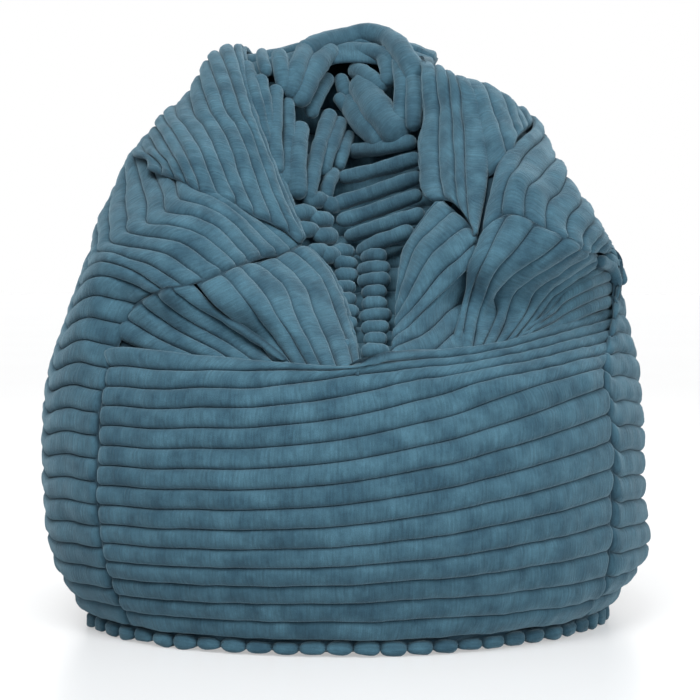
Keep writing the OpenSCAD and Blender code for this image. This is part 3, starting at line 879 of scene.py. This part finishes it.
def add_web(heap, node, ribs_tree):
    """The cloth that the ribs are woven on, which closes the gaps where folds and seams part.

    It follows the filled shape a little below its surface, and goes under ribs that lie deeper.
    """
    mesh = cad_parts[node].data
    core = Vector(CORE)
    verts = []
    for v in mesh.vertices:
        ray = v.co - core
        radius = ray.length
        ray.normalize()
        full = skin.ray_cast(core, ray)[3] or radius
        limit = (form.ray_cast(core, ray)[3] or full) - WEB_DEPTH
        level_side = ray.cross(Vector((0, 0, 1))).normalized()
        up_side = ray.cross(level_side)
        for across, along in PROBES if v.co.z > FOLDS_FROM else [(0, 0)]:
            near = (ray * radius + level_side * across + up_side * along).normalized()
            limit = min(limit, ribs_tree.ray_cast(core, near)[3] or limit)
        below = (full - radius) / COVER_T * WEB_T
        verts.append(core + ray * (limit - below))
    verts = np.array(verts)
    verts[:, 2] = np.maximum(verts[:, 2], WEB_DEPTH * 0.5)
    faces = [tuple(p.vertices) for p in mesh.polygons]
    # Its painted shade is 0, as dark as the bottom of a groove.
    heap.add(verts, faces, np.zeros((len(verts), 2)), np.zeros(len(verts)))


def tree_of_heaps(parts):
    verts, faces = [], []
    for heap in parts:
        start = len(verts)
        verts += [Vector(v) for shell in heap.verts for v in shell]
        faces += [tuple(start + i for i in f) for f in heap.faces]
    return BVHTree.FromPolygons(verts, faces)


heaps = {
    "front_gore": ("cover_front", front_cover()),
    "left_gore": ("cover_left", left_cover()),
    "right_gore": ("cover_right", right_cover()),
    "back_gore": ("cover_back", back_cover()),
    "base_panel": ("cover_base", base_cover()),
    "crown_cap": ("cover_crown", crown_cover()),
}
ribs_tree = tree_of_heaps([heap for _, heap in heaps.values()])
for node, (_, heap) in heaps.items():
    add_web(heap, node, ribs_tree)
covers = [heap.piece(name, node) for node, (name, heap) in heaps.items()]
cover_tree = tree_of(covers)


# ---- The liner and the fill, inside the cover ----

# How deep the liner lies in the CAD, which is also how far it stays off the floor.
LINER_DEPTH = 0.0083
LINER_CLEARANCE = 0.0015
CREASE_DEPTH = 0.001
LINER_CREASE = Ripple(13, 0.05)


def inner_layer(node, name, material):
    """A copy of a CAD layer, drawn in wherever the cover's folds reach further in than the CAD."""
    bm = bmesh.new()
    bm.from_mesh(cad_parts[node].data)
    bmesh.ops.remove_doubles(bm, verts=bm.verts, dist=1e-6)
    bmesh.ops.subdivide_edges(bm, edges=bm.edges, cuts=1, use_grid_fill=True)
    core = Vector(CORE)
    for v in bm.verts:
        ray = v.co - core
        radius = ray.length
        ray.normalize()
        full = skin.ray_cast(core, ray)[3]
        hit = cover_tree.ray_cast(core, ray)[3]
        if full is None or hit is None:
            continue
        below = full - radius - LINER_DEPTH
        crease = CREASE_DEPTH * (1 + float(LINER_CREASE(np.array(v.co))))
        room = hit - LINER_CLEARANCE - below - crease
        v.co = core + ray * min(radius, room)
        v.co.z = max(v.co.z, LINER_DEPTH)
    mesh = bpy.data.meshes.new(name)
    bm.to_mesh(mesh)
    bm.free()
    mesh.shade_smooth()
    mesh.materials.append(material)
    o = bpy.data.objects.new(name, mesh)
    bpy.context.scene.collection.objects.link(o)
    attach(o, "main")
    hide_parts(node)
    return o


for side in ("front", "right", "back", "left"):
    inner_layer(f"liner_{side}_gore", f"liner_{side}", LINING)
inner_layer("liner_base", "liner_bottom", LINING)
inner_layer("liner_cap", "liner_crown", LINING)
inner_layer("bead_fill", "bead_filling", BEADS)


# ---- Zip materials, also of the liner's zip ----


def paint(node, material):
    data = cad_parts[node].data
    data.materials.clear()
    data.materials.append(material)


for node, material in {
    "zip_tapes": ZIP_CLOTH, "zip_coil_rows": COIL, "zip_end_stops": METAL, "zip_slider": METAL,
    "zip_pull_tab": METAL, "liner_zip_tapes": LINING, "liner_zip_coil_rows": LINER_COIL,
    "liner_zip_slider": METAL,
}.items():
    paint(node, material)


# ---- Studio ----


def camera_or_gloss(nodes, links):
    """1 for what the camera sees, also in a glossy face, and 0 for the light that falls on things."""
    path = nodes.new("ShaderNodeLightPath")
    most = nodes.new("ShaderNodeMath")
    most.operation = "MAXIMUM"
    links.new(path.outputs["Is Camera Ray"], most.inputs[0])
    links.new(path.outputs["Is Glossy Ray"], most.inputs[1])
    return most.outputs[0]


def floor_paint():
    """Pale and half glossy; it glows to the camera, so that it meets the backdrop without an edge."""
    m, nodes, links = new_material("floor_paint")
    bsdf = nodes["Principled BSDF"]
    place = nodes.new("ShaderNodeTexCoord").outputs["Object"]
    soft = noise(nodes, links, place, 1.5, 2.0)
    tone = ramp(nodes, links, soft, [(0.3, (0.60, 0.61, 0.62, 1)), (0.7, (0.62, 0.63, 0.64, 1))])
    links.new(tone, bsdf.inputs["Base Color"])
    bsdf.inputs["Roughness"].default_value = 0.25
    bsdf.inputs["Specular IOR Level"].default_value = 0.3
    glow_strength = nodes.new("ShaderNodeMath")
    glow_strength.operation = "MULTIPLY"
    glow_strength.inputs[1].default_value = 0.42
    links.new(camera_or_gloss(nodes, links), glow_strength.inputs[0])
    glow = nodes.new("ShaderNodeEmission")
    links.new(glow_strength.outputs[0], glow.inputs["Strength"])
    both = nodes.new("ShaderNodeAddShader")
    links.new(bsdf.outputs[0], both.inputs[0])
    links.new(glow.outputs[0], both.inputs[1])
    links.new(both.outputs[0], nodes["Material Output"].inputs["Surface"])
    return m


def add_floor():
    mesh = bpy.data.meshes.new("floor")
    half = 12.0
    corners = [(-half, -half, 0), (half, -half, 0), (half, half, 0), (-half, half, 0)]
    mesh.from_pydata(corners, [], [(0, 1, 2, 3)])
    mesh.materials.append(floor_paint())
    floor = bpy.data.objects.new("floor", mesh)
    bpy.context.scene.collection.objects.link(floor)


def add_backdrop():
    """A white world, dimmer as a light than it looks."""
    world = bpy.data.worlds.new("studio")
    bpy.context.scene.world = world
    world.use_nodes = True
    nodes, links = world.node_tree.nodes, world.node_tree.links
    strength = nodes.new("ShaderNodeMix")
    strength.inputs["A"].default_value = 0.35
    strength.inputs["B"].default_value = 1.0
    links.new(camera_or_gloss(nodes, links), strength.inputs["Factor"])
    links.new(strength.outputs["Result"], nodes["Background"].inputs["Strength"])
    nodes["Background"].inputs["Color"].default_value = (1, 1, 1, 1)


def aimed(o, place, aim):
    bpy.context.scene.collection.objects.link(o)
    o.location = place
    o.rotation_euler = (Vector(aim) - Vector(place)).to_track_quat("-Z", "Y").to_euler()


def add_lamp(name, place, aim, size, power):
    data = bpy.data.lights.new(name, "AREA")
    data.shape = "DISK"
    data.size = size
    data.energy = power
    aimed(bpy.data.objects.new(name, data), place, aim)


def add_camera():
    data = bpy.data.cameras.new("camera")
    data.lens = LENS
    data.sensor_width = 36.0
    camera = bpy.data.objects.new("camera", data)
    aimed(camera, EYE, AIM)
    bpy.context.scene.camera = camera


bpy.context.scene.view_settings.view_transform = "Standard"
add_floor()
add_backdrop()
add_lamp("key", (-0.45, -1.8, 2.4), (0, 0, 0.35), 1.6, 50)
add_lamp("fill", (1.6, -2.5, 1.2), (0, 0, 0.35), 1.6, 34)
add_lamp("rim", (0.3, 2.2, 2.2), (0, 0, 0.4), 1.5, 20)
add_camera()
